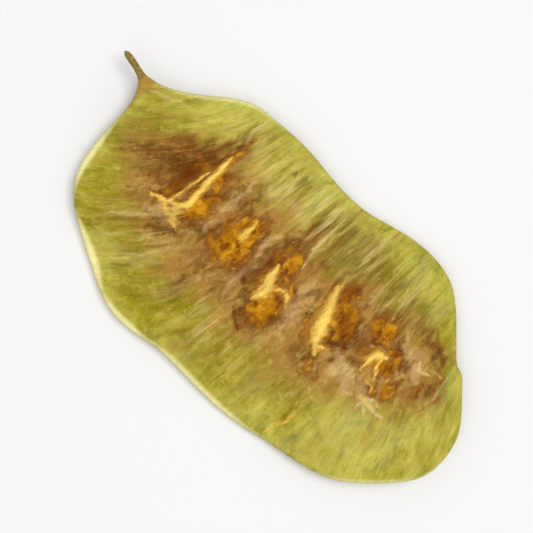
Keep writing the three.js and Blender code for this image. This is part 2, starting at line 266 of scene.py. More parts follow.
# Dull pinkish stripes between the seeds
MAUVE_LINES = [
    (0.9, 0.8, [(-6.2, 4.0), (-6.0, 0.5), (-5.8, -1.8)]),
    (0.6, 1.8, [(-8.0, 6.0), (-4.6, 5.2), (-1.4, 5.4)]),
    (0.9, 0.8, [(11.4, 0.5), (12.4, 0.2), (13.4, -0.1)]),
    (0.85, 0.7, [(-1.4, 2.8), (-1.2, -1.0), (-0.8, -4.4)]),
    (0.85, 0.9, [(3.2, 3.0), (3.9, -0.5), (4.7, -3.4)]),
    (1.0, 1.1, [(8.6, 0.9), (10.4, -0.4), (12.2, -0.8)]),
    (0.8, 0.8, [(11.0, 6.0), (13.2, 5.0), (14.4, 3.2)]),
    (1.0, 0.8, [(-10.6, -3.3), (-9.0, -3.2), (-7.2, -3.1)]),
    (0.6, 1.0, [(2.2, -3.9), (3.6, -3.9), (5.2, -3.6)]),
]

# Ovals below: strength, centre in mm, half width, half length, lean in degrees

# Dark brown patches in the band
UMBER_STAINS = [
    (1.0, (-11.5, 0.8), 2.0, 3.2, -25),
    (0.9, (-9.8, 4.2), 0.8, 2.4, -12),
    (0.8, (-13.4, -1.2), 1.8, 2.6, -25),
    (0.6, (-3.7, -4.8), 1.1, 2.6, 0),
    (0.5, (-4.4, 4.0), 1.4, 2.0, 0),
    (0.95, (-0.4, 0.6), 0.7, 3.4, 8),
    (0.75, (-0.8, -3.2), 1.5, 1.5, 0),
    (0.85, (1.7, -3.7), 1.7, 1.1, 0),
    (0.55, (0.2, 5.4), 1.2, 3.0, 0),
    (0.5, (-5.8, -3.2), 0.9, 1.4, 0),
    (0.55, (8.8, 5.2), 1.2, 1.4, 0),
    (0.9, (7.7, 1.9), 1.4, 2.3, 35),
    (0.8, (5.9, 4.4), 0.9, 1.6, 25),
    (0.7, (6.7, -2.0), 1.1, 1.2, 0),
    (0.65, (9.3, 2.8), 0.9, 2.0, 20),
    (0.6, (12.6, 4.4), 1.8, 0.8, -10),
    (0.85, (13.6, 6.6), 2.4, 0.9, -25),
    (0.7, (15.3, 3.9), 1.5, 2.0, 20),
    (0.65, (9.2, 5.9), 1.8, 1.3, 0),
    (0.55, (5.2, 1.2), 0.35, 2.4, 22),
    (0.5, (14.4, 1.4), 1.0, 1.4, 20),
    (0.4, (6.0, 7.4), 2.0, 1.6, 0),
    (0.9, (14.9, 6.8), 1.2, 0.5, -25),
    (0.65, (-5.9, -3.3), 1.3, 1.2, 0),
    (0.5, (2.8, 4.6), 1.2, 1.6, 0),
]

# Amber glaze over the seeds
ORANGE_STAINS = [
    (1.0, (-7.5, -0.5), 1.0, 2.0, 0),
    (0.8, (-8.0, 2.2), 0.6, 1.7, 0),
    (0.7, (-8.9, 4.4), 0.5, 1.6, 0),
    (0.8, (-9.9, -1.0), 0.7, 1.8, 0),
    (0.75, (-10.1, 1.2), 0.7, 1.4, -10),
    (1.0, (-3.55, -0.6), 1.9, 2.5, 0),
    (0.9, (-3.5, 1.4), 1.3, 1.3, 0),
    (1.0, (0.85, 1.8), 1.2, 1.7, 4),
    (1.0, (2.1, -1.6), 1.3, 2.2, 4),
    (0.6, (2.6, 0.9), 0.6, 0.9, 30),
    (0.9, (7.2, 2.6), 1.4, 2.0, 32),
    (0.8, (6.0, 4.2), 0.8, 1.2, 25),
    (1.0, (9.9, 4.5), 1.1, 1.4, 35),
    (0.9, (12.3, 2.7), 0.9, 0.8, 0),
    (0.75, (12.0, 3.8), 1.3, 0.5, -10),
    (0.7, (13.2, 0.6), 0.5, 0.6, 0),
    (0.5, (8.3, -1.9), 0.9, 1.2, 20),
    (0.8, (13.9, 1.8), 0.6, 1.0, 20),
    (0.6, (16.2, 5.2), 0.5, 1.0, 20),
    (0.3, (-11.8, -1.8), 1.0, 1.6, 0),
    (0.5, (15.0, 3.4), 0.6, 1.0, 0),
    (0.7, (9.7, 2.4), 0.7, 1.2, 20),
    (0.4, (-11.2, 1.4), 0.9, 1.6, -20),
    (0.7, (5.7, -0.4), 0.5, 0.9, 20),
]

# Darkest spots beside the crests
RUST_STAINS = [
    (1.0, (-10.1, 0.1), 0.8, 2.6, -4),
    (0.8, (-9.05, -0.4), 0.25, 1.5, -3),
    (0.75, (-4.9, 0.4), 0.35, 2.0, 0),
    (0.6, (-1.9, 0.4), 0.3, 1.8, 0),
    (0.85, (-0.15, 0.4), 0.35, 2.4, 10),
    (0.35, (1.7, 2.0), 0.3, 1.3, 8),
    (0.8, (7.6, 2.1), 0.75, 1.6, 34),
    (0.7, (5.8, 4.3), 0.4, 0.9, 20),
    (1.0, (10.1, 3.2), 0.7, 0.42, -10),
    (0.4, (12.1, 4.3), 1.4, 0.4, -10),
    (0.6, (2.2, -3.3), 0.7, 0.8, 0),
    (0.5, (15.6, 4.6), 0.5, 1.0, 0),
    (1.0, (2.4, -0.6), 0.45, 0.35, 0),
    (0.5, (11.2, 3.7), 1.0, 0.3, -15),
    (0.7, (12.7, 1.0), 0.3, 0.4, 0),
    (0.6, (5.8, 3.8), 0.4, 0.7, 20),
    (0.5, (13.2, 3.0), 0.5, 0.8, 20),
]

# Where the green is paler and drier
PALE_FIELDS = [
    (0.9, (15.8, -3.4), 4.8, 4.4, -30),
    (0.8, (18.8, 1.0), 2.6, 4.4, 0),
    (0.8, (8.0, 10.2), 6.4, 2.2, 0),
    (0.75, (-2.0, 8.4), 8.0, 2.6, 0),
    (1.0, (-12.4, 6.0), 2.2, 5.2, -45),
    (0.7, (-9.8, -9.2), 3.4, 1.6, -20),
    (0.8, (-4.8, 6.4), 4.4, 2.6, 0),
    (0.8, (9.5, -8.0), 3.0, 1.6, 0),
]

# Where the green turns brownish
DRAB_FIELDS = [
    (1.0, (4.0, 6.4), 5.4, 2.6, 0),
    (0.9, (10.4, 7.2), 3.6, 1.8, -15),
    (0.7, (-15.6, -0.6), 1.6, 3.6, -20),
    (0.6, (15.2, 7.2), 1.6, 0.8, -35),
    (0.5, (5.4, -4.6), 2.0, 1.4, 0),
    (0.9, (15.8, 2.0), 1.3, 2.0, 10),
    (0.5, (-12.0, -6.4), 2.8, 2.0, 30),
    (0.4, (0.5, -8.2), 5.0, 1.8, 0),
]

# Where pale and dark strips run across the sheet
STREAKY_FIELDS = [
    (1.0, (-1.5, 6.8), 8.0, 2.6, 0),
    (0.8, (7.0, 7.6), 4.0, 2.6, 0),
    (0.5, (0.0, -6.8), 6.4, 2.6, 0),
    (0.7, (-9.0, -6.0), 3.4, 3.0, -40),
]

# Where the rim is broad and cream. The pale rim is the pod's own colour; its broad cream along the lower left
# is painted highlight where the rim turns up.
CREAM_RIM_FIELDS = [
    (1.0, (-10.4, -10.2), 2.6, 6.4, -62),
    (0.9, (-16.8, -5.2), 1.6, 3.6, 12),
    (0.8, (-4.4, -11.6), 3.6, 1.6, 0),
    (0.7, (4.0, -10.2), 7.4, 1.6, 4),
    (0.5, (-12.6, 6.6), 1.8, 5.4, -50),
    (0.45, (18.6, -4.0), 1.8, 4.4, -40),
]


def tone(code):
    """A colour such as "#a59a45" as the linear red, green and blue that Blender mixes."""
    shares = [int(code[i:i + 2], 16) / 255 for i in (1, 3, 5)]
    return [s / 12.92 if s <= 0.04045 else ((s + 0.055) / 1.055) ** 2.4 for s in shares]


def colour(name, description, code):
    """A colour setting with its swatch."""
    return bpy.props.FloatVectorProperty(
        name=name, description=description, subtype="COLOR", size=3, min=0, max=1, default=tone(code)
    )


class SennaPodSettings(bpy.types.PropertyGroup):
    """Form and colours of the pod."""

    levels: bpy.props.IntProperty(
        name="Fineness", description="Times that the skin is subdivided", default=2, min=0, max=2
    )
    crest_height: bpy.props.FloatProperty(
        name="Crest height", description="Extra height of the crests over the seeds", unit="LENGTH",
        default=0.15 * MM, min=0, max=0.4 * MM, precision=5
    )
    wrinkle_height: bpy.props.FloatProperty(
        name="Wrinkle height", description="Height of the dried wrinkles in the sheet", unit="LENGTH",
        default=0.1 * MM, min=0, max=0.3 * MM, precision=5
    )
    cleft_depth: bpy.props.FloatProperty(
        name="Cleft depth", description="Depth of the dark clefts beside the crests", unit="LENGTH",
        default=0.042 * MM, min=0, max=0.2 * MM, precision=5
    )
    olive: colour("Olive", "Deeper green of the sheet", "#968a10")
    hay: colour("Hay", "Paler, drier green of the sheet", "#c6c054")
    sage: colour("Sage", "Duller green in broad patches", "#a09c5e")
    moss: colour("Moss", "Darkest green between the cross fibres", "#766c10")
    husk: colour("Husk", "Raised cross fibres", "#d4ca58")
    straw: colour("Straw", "Pale dried strands", "#dfcb84")
    drab: colour("Drab", "Brownish green above the seeds", "#86702a")
    tan: colour("Tan", "Stained band round the seeds", "#ae7d38")
    umber: colour("Umber", "Darker brown in the band", "#6a3a04")
    mauve: colour("Mauve", "Dull pinkish stripes between the seeds", "#cda570")
    amber: colour("Amber", "Glossy stains over the seeds", "#b07000")
    # This darkest red colours stains and also the painted shadow beside each crest
    rust_and_shade: colour("Rust", "Darkest stains beside the crests", "#6e3204")
    gold: colour("Gold", "Flanks of the crests", "#d8981e")
    yellow: colour("Yellow", "Bright crests over the seeds", "#fdd868")
    # Cream is partly painted highlight, where the lower rim is broad
    cream: colour("Cream", "Thickened rim", "#faf1aa")
    stalk: colour("Stalk", "Dried stalk", "#8a7234")


class SennaStageSettings(bpy.types.PropertyGroup):
    """Floor, light and camera."""

    floor: colour("Floor", "Plain pale surface under the pod", "#f0f0f1")
    key_power: bpy.props.FloatProperty(
        name="Key light", description="Strength of the large soft light", unit="POWER", default=1.88, min=0
    )
    fill: bpy.props.FloatProperty(
        name="Fill", description="Strength of the light all round", default=0.5, min=0
    )
    lens: bpy.props.FloatProperty(
        name="Lens", description="Focal length", default=110, min=20, max=300, unit="CAMERA"
    )
    view_height: bpy.props.FloatProperty(
        name="View height", description="Distance that fills the picture from top to bottom", unit="LENGTH",
        default=44 * MM, min=10 * MM
    )
    view_turn: bpy.props.FloatProperty(
        name="View turn", description="How far the camera is turned about the vertical", subtype="ANGLE",
        default=math.radians(50.5)
    )


class Wire:
    """An output socket that stands in Python expressions. Each operation adds its node."""

    def __init__(self, skin, socket):
        self.skin = skin
        self.socket = socket

    def math(self, operation, first, second):
        return self.skin.node("ShaderNodeMath", {"operation": operation}, {0: first, 1: second})

    def __add__(self, other):
        return self.math("ADD", self, other)

    def __radd__(self, other):
        return self.math("ADD", other, self)

    def __sub__(self, other):
        return self.math("SUBTRACT", self, other)

    def __rsub__(self, other):
        return self.math("SUBTRACT", other, self)

    def __mul__(self, other):
        return self.math("MULTIPLY", self, other)

    def __rmul__(self, other):
        return self.math("MULTIPLY", other, self)

    def sway(self, strength):
        """Noise from 0 to 1 as one that swings both ways from 0, with a strength."""
        return (self - 0.5) * strength


class Skin:
    """The nodes of a new, nearly matt material. Its methods add nodes and give back wires."""

    def __init__(self, name):
        self.material = bpy.data.materials.new(name)
        self.material.use_nodes = True
        self.tree = self.material.node_tree
        self.shader = self.tree.nodes["Principled BSDF"]
        self.shader.inputs["Specular IOR Level"].default_value = 0.1

    def node(self, kind, settings=None, values=None, output=0):
        """Adds a node: its settings first, then what its sockets hold or are linked to."""
        added = self.tree.nodes.new(kind)
        for name, value in (settings or {}).items():
            setattr(added, name, value)
        for key, value in (values or {}).items():
            self.feed(added.inputs[key], value)
        return Wire(self, added.outputs[output])

    def feed(self, socket, value):
        """Links a wire to a socket, or sets the socket's own value."""
        if isinstance(value, Wire):
            self.tree.links.new(value.socket, socket)
        else:
            socket.default_value = value

    def mask(self, name):
        """One of the masks that are stored on the mesh."""
        return self.node("ShaderNodeAttribute", {"attribute_name": name}, output="Fac")

    def grain(self, place, stretch, detail, roughness=0.5, warp=0.0):
        """Noise from 0 to 1 on a place in mm. stretch is how many waves fit in a mm each way."""
        scaled = self.node("ShaderNodeMapping", None, {"Vector": place, "Scale": stretch})
        return self.node("ShaderNodeTexNoise", None, {
            "Vector": scaled, "Scale": 1.0, "Detail": detail, "Roughness": roughness, "Distortion": warp
        })

    def threads(self, place, stretch, width, warp):
        """Thin lines that wander through a place, 1 in their middle and 0 beside them."""
        level = self.grain(place, stretch, detail=1.5, warp=warp)
        away = self.node("ShaderNodeMath", {"operation": "ABSOLUTE"}, {0: level - 0.5})
        return self.step(away, width, 0.0)

    def step(self, value, low, high):
        """0 below low, 1 above high, smooth between. With low above high it runs the other way."""
        values = {0: value, 1: low, 2: high}
        return self.node("ShaderNodeMapRange", {"interpolation_type": "SMOOTHSTEP"}, values)

    def mix(self, under, over, share, how="MIX"):
        """Two colours put together by a share, in the way that how names."""
        values = {0: share, 6: under, 7: over}
        return self.node("ShaderNodeMix", {"data_type": "RGBA", "blend_type": how}, values, output=2)


def opaque(rgb):
    """A colour with its alpha."""
    return (*rgb, 1.0)


class PodSkin(Skin):
    """The pod's papery skin. Its colour is built up in layers, one method for each kind of mark.

    The two numbers of a step are where its mark begins and where it is full. The last number of a
    layer is the strength of its colour.
    """

    def __init__(self, colours):
        super().__init__("pod_skin")
        self.colours = colours
        metres = self.node("ShaderNodeTexCoord", output="Object")
        place = self.node("ShaderNodeVectorMath", {"operation": "SCALE"}, {0: metres, 3: 1 / MM})
        flow = self.node("ShaderNodeAttribute", {"attribute_name": "flow"}, output="Vector")

        self.cloud = self.grain(place, (0.2, 0.18, 0.2), detail=3)
        self.clot = self.grain(place, (1.4, 1.1, 1.1), detail=2, warp=0.5)
        self.fleck = self.grain(place, (3.4, 2.7, 2.6), detail=4, roughness=0.65)
        self.fuzz = self.grain(place, (13.0, 8.0, 8.0), detail=2)
        self.blotch = self.grain(flow, (0.85, 0.5, 0.6), detail=4, roughness=0.6, warp=0.5)
        self.stria = self.grain(flow, (1.3, 0.3, 0.5), detail=4, roughness=0.6, warp=0.4)
        self.fold = self.grain(flow, (0.55, 0.16, 0.3), detail=3, roughness=0.6)
        self.strip = self.grain(flow, (2.3, 0.18, 0.5), detail=3, roughness=0.6, warp=0.15)
        self.fibre = self.grain(flow, (5.0, 0.75, 1.0), detail=4, roughness=0.65, warp=0.3)
        self.cross = self.threads(flow, (1.4, 0.26, 0.5), width=0.08, warp=0.4)
        self.hairs = self.threads(flow, (3.2, 1.2, 1.0), width=0.1, warp=0.6)

        self.band = self.mask("band")
        self.crease = self.mask("crease")
        self.mottle = (
            self.blotch.sway(0.9) + self.stria.sway(1.0) + self.fibre.sway(0.5) + self.fleck.sway(0.4)
        )
        self.grit = self.fleck.sway(1.0) + self.fibre.sway(0.7) + self.fuzz.sway(0.4)
        green = self.step(self.mask("pale") + self.cloud.sway(1.1) + self.blotch.sway(0.9), 0.0, 1.0)
        self.base = self.mix(opaque(colours.olive), opaque(colours.hay), green)

    def layer(self, over, share, strength=1.0):
        """Puts a colour over the skin so far."""
        self.base = self.mix(self.base, opaque(over), share * strength)

    def mottle_sheet(self):
        """Pale fibres, dark gaps and duller patches in the green."""
        colours = self.colours
        streak = self.stria + self.blotch.sway(0.8) + self.fibre.sway(0.4)
        patch = self.fold - self.cloud.sway(0.8) + self.clot.sway(0.6)
        drab = self.mask("drab") + self.stria.sway(1.6) + self.blotch.sway(0.6)
        self.layer(colours.husk, self.step(streak, 0.5, 0.8), 0.35)
        self.layer(colours.husk, self.step(self.clot + self.fleck.sway(0.7), 0.5, 0.75), 0.3)
        self.layer(colours.moss, self.step(streak, 0.5, 0.2), 0.5)
        self.layer(colours.tan, self.step(self.fold + self.cloud.sway(0.5), 0.52, 0.75), 0.3)
        self.layer(colours.sage, self.step(patch, 0.5, 0.25), 0.38)
        self.layer(colours.drab, self.step(drab, 0.1, 0.9), 0.75)
        self.layer(colours.moss, self.step(self.fleck + self.fibre.sway(0.8), 0.46, 0.2), 0.22)

    def brown_band(self):
        """The stained band round the seeds, with darker and pinker parts. Part of this is painted shade:
        darker umber in the crease troughs, paler mauve on the crease ridges.
        """
        colours = self.colours
        band = self.band * 0.6
        grit = self.grit * 0.6
        # Painted shade: the umber grows where the creases sink
        umber = self.mask("umber") + self.mottle * 0.7 - self.crease * 0.2
        mauve = self.mask("mauve") + self.mottle * 0.5 + self.grit * 0.5
        self.layer(colours.tan, self.step(self.band + self.mottle, -0.05, 0.75), 0.9)
        # Painted light over the creases: pinker on their ridges, darker umber in their troughs
        self.layer(colours.mauve, self.step(band + grit + self.crease * 0.4, 0.55, 1.1), 0.35)
        self.layer(colours.umber, self.step(band - grit - self.crease * 0.45, 0.5, 1.05), 0.75)
        self.layer(colours.umber, self.step(umber, 0.1, 1.0), 0.9)
        self.layer(colours.mauve, self.step(mauve, 0.2, 1.1), 0.75)

    def strew_fibres(self):
        """Loose fibres, strips and hairs over sheet and band. Gives back the raised veins."""
        colours = self.colours
        speckle = 0.3 + self.fleck
        self.layer(colours.husk, self.mask("bright") * speckle * (1 - self.band * 0.7), 0.4)
        self.layer(colours.umber, self.mask("dull") * speckle, 0.3)
        streaky = self.mask("streaky") * (0.5 + self.blotch)
        self.layer(colours.straw, self.step(self.strip, 0.5, 0.7) * streaky, 0.7)
        self.layer(colours.umber, self.step(self.strip, 0.5, 0.3) * streaky, 0.6)
        broken = self.step(self.fleck + self.blotch.sway(0.8), 0.35, 0.7)
        veins = self.cross * broken * (1 - self.band * 0.5)
        self.layer(colours.husk, veins, 0.42)
        self.layer(colours.straw, self.hairs * self.band * self.step(self.blotch, 0.45, 0.65), 0.3)
        return veins

    def glaze_seeds(self):
        """Amber stains over the seeds with gold and dark red clots, and the dark red stains and painted
        shadow beside the crests.
        """
        colours = self.colours
        clots = self.grit * 0.4 + self.clot.sway(4.2) + self.blotch.sway(1.5)
        orange = self.mask("orange") + self.mottle * 0.4 + self.grit * 0.3 + self.clot.sway(0.7)
        rust_and_shade = self.mask("rust_and_shade") + self.mottle * 0.4 + self.grit * 0.4 + self.clot.sway(0.4)
        glaze = self.mix(opaque(colours.amber), opaque(colours.gold), self.step(clots, 0.1, 0.6) * 0.75)
        glaze = self.mix(glaze, opaque(colours.rust_and_shade), self.step(clots, -0.02, -0.6) * 0.8)
        self.layer(colours.rust_and_shade, self.step(orange, 0.08, 0.42), 0.6)
        self.base = self.mix(self.base, glaze, self.step(orange, 0.28, 0.72) * 0.95)
        self.layer(colours.rust_and_shade, self.step(rust_and_shade, 0.2, 1.0), 0.88)

    def gild_crests(self):
        """Straw strands, gilt crests. Gives back the shares of gold and yellow."""
        colours = self.colours
        straw = self.mask("straw") + self.fibre.sway(0.8) + self.fleck.sway(0.4)
        thread = self.fibre.sway(1.0) + self.fleck.sway(0.8)
        gold = self.step(self.mask("glow") + thread * 0.9, 0.3, 1.05)
        yellow = self.step(self.mask("crest") + thread * 0.8, 0.35, 1.1)
        self.layer(colours.straw, self.step(straw, 0.15, 0.95), 0.75)
        self.layer(colours.gold, gold, 0.85)
        self.layer(colours.yellow, yellow, 0.97)
        return gold, yellow

    def edge_and_stalk(self):
        """The cream rim, partly painted highlight along the lower left, the dull seam, and the stalk with its
        joint.
        """
        colours = self.colours
        joint = self.step(self.mask("joint") + self.fleck.sway(0.5), 0.2, 0.8)
        stem = self.step(self.mask("stem") + self.fleck.sway(0.5), 0.2, 0.8)
        self.layer(colours.cream, self.step(self.mask("rim") + self.fleck.sway(0.3), 0.2, 0.9), 0.85)
        self.layer(colours.drab, self.mask("seam"), 0.4)
        self.layer(colours.tan, joint, 0.7)
        self.layer(colours.stalk, stem)
        self.layer(colours.straw, self.step(self.fleck, 0.5, 0.75) * stem, 0.5)

    def grain_shade(self):
        """Lighter and darker grain over all the colours, and painted shade in the band: lighter on the crease
        ridges, darker in their troughs.
        """
        shade = 1.0 + self.fibre.sway(0.42) + self.fuzz.sway(0.24) + self.blotch.sway(0.42)
        # Painted shade and light that follow the creases in the band
        shade = shade + self.band * self.crease * 0.12
        grey = self.node("ShaderNodeCombineColor", None, {0: shade, 1: shade, 2: shade})
        self.base = self.mix(self.base, grey, 1.0, "MULTIPLY")

    def papery_bump(self, veins):
        """Fine relief of the paper, its fibres and its veins."""
        height = self.fibre * 0.4 + self.fuzz * 0.2 + self.fleck * 0.35 + self.stria * 0.5 + veins * 0.4
        height = height + self.band * (self.fleck + self.blotch) * 0.5
        return self.node("ShaderNodeBump", None, {"Strength": 1.0, "Distance": GRAIN_DEPTH, "Height": height})


def pod_skin(colours):
    """Papery olive skin: a brown band, stains over the seeds, yellow crests and a cream rim. Shade is painted
    beside the crests and in the creases of the band, and highlight on the lower rim.
    """
    skin = PodSkin(colours)
    skin.mottle_sheet()
    skin.brown_band()
    veins = skin.strew_fibres()
    skin.glaze_seeds()
    gold, yellow = skin.gild_crests()
    skin.edge_and_stalk()
    skin.grain_shade()
    skin.feed(skin.shader.inputs["Base Color"], skin.base)
    skin.feed(skin.shader.inputs["Roughness"], 0.74 - gold * 0.2 - yellow * 0.12 + skin.fleck.sway(0.16))
    skin.feed(skin.shader.inputs["Normal"], skin.papery_bump(veins))
    return skin.material


def plain_floor(settings):
    """Matt pale floor."""
    skin = Skin("plain_floor")
    skin.shader.inputs["Base Color"].default_value = opaque(settings.floor)
    skin.shader.inputs["Roughness"].default_value = 0.9
    return skin.material


def smoothstep(values, low, high):
    """0 below low, 1 above high, smooth between."""
    share = np.clip((values - low) / (high - low), 0, 1)
    return share * share * (3 - 2 * share)


def tapered(lines):
    """Lines with one half width, as lines whose points each have their own: narrow at the ends."""
    shaped = []
    for strength, width, line in lines:
        widths = [width] * len(line)
        widths[0] = widths[-1] = width * TAPER
        shaped.append((strength, [(x, y, wide) for (x, y), wide in zip(line, widths)]))
    return shaped


def widened(lines, spread):
    """Lines whose points have their own half width, made wider."""
    return [(strength, [(x, y, spread * width) for x, y, width in line]) for strength, line in lines]


def drawn(spots, lines, sharpness=2.0):
    """Mask of a set of lines. It is the line's strength along its middle and fades past its half width."""
    mask = np.zeros(len(spots))
    for strength, line in lines:
        corners = np.array(line)
        reach = 3 * corners[:, 2].max()
        low, high = corners[:, :2].min(axis=0) - reach, corners[:, :2].max(axis=0) + reach
        near = np.flatnonzero(np.all((spots > low) & (spots < high), axis=1))
        for start, end in zip(corners, corners[1:]):
            run = end - start
            share = np.clip((spots[near] - start[:2]) @ run[:2] / (run[:2] @ run[:2]), 0, 1)
            middle = start + share[:, None] * run
            away = np.linalg.norm(spots[near] - middle[:, :2], axis=1) / middle[:, 2]
            mask[near] = np.maximum(mask[near], strength * np.exp(-(away**sharpness)))
    return mask


def stained(spots, stains, sharpness=2.4):
    """Mask of a set of leaning ovals."""
    mask = np.zeros(len(spots))
    for strength, centre, across, along, lean in stains:
        cos, sin = math.cos(math.radians(lean)), math.sin(math.radians(lean))
        dx, dy = (spots - centre).T
        reach = np.hypot((dx * cos + dy * sin) / across, (dy * cos - dx * sin) / along)
        mask = np.maximum(mask, strength * np.exp(-(reach**sharpness)))
    return mask


def banded(spots, soft):
    """Mask of the band round the seeds, with bounds that fade over a soft width in mm."""
    top = np.interp(spots[:, 0], *np.transpose(BAND_TOP)) - spots[:, 1]
    foot = spots[:, 1] - np.interp(spots[:, 0], *np.transpose(BAND_FOOT))
    return smoothstep(np.minimum(top, foot), -soft / 2, soft)


def fibre_lean(spots):
    """How far the cross fibres run in X for each mm in Y, at each spot."""
    upper = np.interp(spots[:, 0], *np.transpose(UPPER_LEAN))
    lower = np.interp(spots[:, 0], *np.transpose(LOWER_LEAN))
    return np.where(spots[:, 1] > 0, upper, lower)


def across_fibres(spots):
    """Each spot with its X taken along the cross fibres to the middle of the pod."""
    return np.stack([spots[:, 0] - fibre_lean(spots) * spots[:, 1], spots[:, 1]], axis=1)


def loose_fibres(seed, count, widths):
    """Short lines that run the way of the cross fibres, scattered over the pod."""
    dice = random.Random(seed)
    (left, foot), (right, top) = FIBRE_CORNERS
    lines = []
    for _ in range(count):
        x, y = dice.uniform(left, right), dice.uniform(foot, top)
        length = dice.uniform(*FIBRE_LENGTHS)
        lean = fibre_lean(np.array([[x, y]]))[0] + dice.gauss(0, FIBRE_STRAY)
        bend = dice.uniform(-FIBRE_BEND, FIBRE_BEND) * length
        line = [(x, y), (x + lean * length / 2 + bend, y + length / 2), (x + lean * length, y + length)]
        lines.append((dice.uniform(*FIBRE_STRENGTHS), dice.uniform(*widths), line))
    return tapered(lines)


def seed_crests():
    """A plain crest line along each seed, for the underside."""
    lines = []
    for (x, y), half, lean in SEEDS:
        dx, dy = -math.sin(math.radians(lean)) * half, math.cos(math.radians(lean)) * half
        line = [(x + 0.8 * dx, y + 0.8 * dy), (x + 0.25, y), (x - 0.6 * dx, y - 0.6 * dy)]
        lines.append((0.9, 0.3, line))
    return tapered(lines)


def waves(spots, stretch, seed, octaves=3):
    """Fractal noise of about -1 to 1 at each spot. stretch is how many waves fit in a mm each way."""
    wide, tall = stretch
    return np.array([
        noise.fractal(Vector((x * wide, y * tall, seed)), 1.0, 2.0, octaves) for x, y in spots
    ])


def creases(spots, stretch, seed):
    """Ridged noise of about -1 to 1 at each spot, like the creases of a dried skin."""
    wide, tall = stretch
    raw = np.array([
        noise.ridged_multi_fractal(Vector((x * wide, y * tall, seed)), 1.0, 2.1, 3, 1.0, 2.0)
        for x, y in spots
    ])
    return np.clip((raw - raw.mean()) / (2 * raw.std()), -1, 1)


def wander(spots, noises):
    """Noise for X and for Y at each spot."""
    return np.stack([waves(spots, stretch, seed) for stretch, seed in noises], axis=1)


def read(mesh, name):
    """A row of three numbers for each vertex: its place in metres or its normal."""
    rows = np.empty(len(mesh.vertices) * 3)
    mesh.vertices.foreach_get(name, rows)
    return rows.reshape(-1, 3)


def move(mesh, places):
    """Puts each vertex at its new place in metres."""
    mesh.vertices.foreach_set("co", places.ravel())
    mesh.update()


def store(mesh, name, values):
    """Keeps one number a vertex on the mesh, for the material to read."""
    attribute = mesh.attributes.new(name, "FLOAT", "POINT")
    attribute.data.foreach_set("value", np.asarray(values, dtype=np.float32))


def outline_edges(mesh):
    """End points in mm of the edges where the upper face meets the lower one."""
    faces_at = {}
    for face in mesh.polygons:
        for key in face.edge_keys:
            faces_at.setdefault(key, []).append(face.normal.z > 0)
    keys = [key for key, sides in faces_at.items() if len(set(sides)) == 2]
    corners = np.array([mesh.vertices[i].co[:2] for key in keys for i in key]) / MM
    return corners.reshape(-1, 2, 2)


def edge_distance(spots, edges):
    """Distance in mm from each spot to the nearest of the outline's edges."""
    nearest = np.full(len(spots), np.inf)
    for start, end in edges:
        run = end - start
        share = np.clip((spots - start) @ run / max(run @ run, 1e-9), 0, 1)
        nearest = np.minimum(nearest, np.linalg.norm(spots - start - share[:, None] * run, axis=1))
    return nearest


class Sheet:
    """What the relief and the stains need of each vertex, in mm seen from above."""

    def __init__(self, mesh, outline):
        self.spots = read(mesh, "co")[:, :2] / MM
        self.upper = read(mesh, "normal")[:, 2] > 0
        self.edge = edge_distance(self.spots, outline)
        self.fibres = across_fibres(self.spots)
        slow = wander(self.spots, SLOW_NOISE)
        drift = wander(self.spots, DRIFT_NOISE)
        quick = wander(self.spots, QUICK_NOISE)
        # Each number is about how far in mm its noise moves a spot
        self.fine = self.spots + 0.14 * drift + 0.1 * quick
        self.ragged = self.spots + 0.3 * slow + 0.45 * drift + 0.3 * quick
        self.loose = self.spots + 0.8 * slow + 0.3 * quick
        self.swirled = self.fibres + 0.9 * drift


def finer_copy(node, name, levels):
    """A subdivided copy of a CAD node's mesh, and the outline that it had before."""
    piece = bpy.data.objects.new(name, node.data.copy())
    bpy.context.scene.collection.objects.link(piece)
    piece.data.materials.clear()
    bpy.ops.object.select_all(action="DESELECT")
    piece.select_set(True)
    bpy.context.view_layer.objects.active = piece
    bpy.ops.object.mode_set(mode="EDIT")
    bpy.ops.mesh.select_all(action="SELECT")
    bpy.ops.mesh.remove_doubles(threshold=0.002 * MM)
    bpy.ops.mesh.tris_convert_to_quads(face_threshold=math.radians(60), shape_threshold=math.radians(60))
    bpy.ops.object.mode_set(mode="OBJECT")
    outline = outline_edges(piece.data)
    finer = piece.modifiers.new("Finer", "SUBSURF")
    finer.levels = finer.render_levels = levels
    bpy.ops.object.modifier_apply(modifier=finer.name)
    bpy.ops.object.shade_smooth()
    return piece, outline


def slim_stalk(mesh):
    """Draws the stalk in to its real thickness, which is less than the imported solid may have."""
    places = read(mesh, "co") / MM
    stalk = np.flatnonzero(places[:, 0] < STALK_FOOT)
    along = places[stalk, 0]
    share = smoothstep(along, STALK_FOOT, STALK_FOOT - STALK_THINNING) * (1 - STALK_SHARE)
    for axis in (1, 2):
        middle = np.polyval(np.polyfit(along, places[stalk, axis], 3), along)
        places[stalk, axis] += (middle - places[stalk, axis]) * share
    move(mesh, places * MM)


